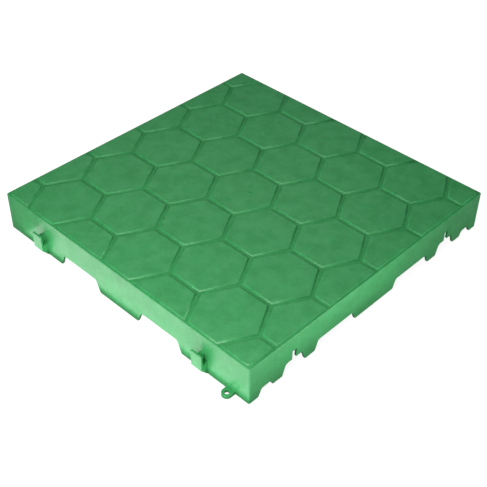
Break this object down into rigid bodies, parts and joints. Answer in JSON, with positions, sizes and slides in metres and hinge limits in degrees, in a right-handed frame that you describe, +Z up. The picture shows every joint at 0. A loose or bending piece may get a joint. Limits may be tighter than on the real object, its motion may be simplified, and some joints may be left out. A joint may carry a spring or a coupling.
{
  "type": "plastic garden tile",
  "caption": "Square interlocking plastic garden tile with raised hexagon pads, a notched skirt with hooks, slots and peg eyelets, and a ribbed underside.",
  "frame": {"origin": "middle of the square at floor level, on the foot of the middle post", "axes": "+Z up; the sides facing -X and +Y carry hooks and eyelets, the sides facing -Y and +X slots"},
  "size_m": [0.4122, 0.4122, 0.052],
  "materials": {
    "tile_plastic": "moulded green polypropylene, matte with a faint sheen"
  },
  "bodies": {
    "root": {"garden_tile": "tile_plastic"}
  },
  "joints": []
}
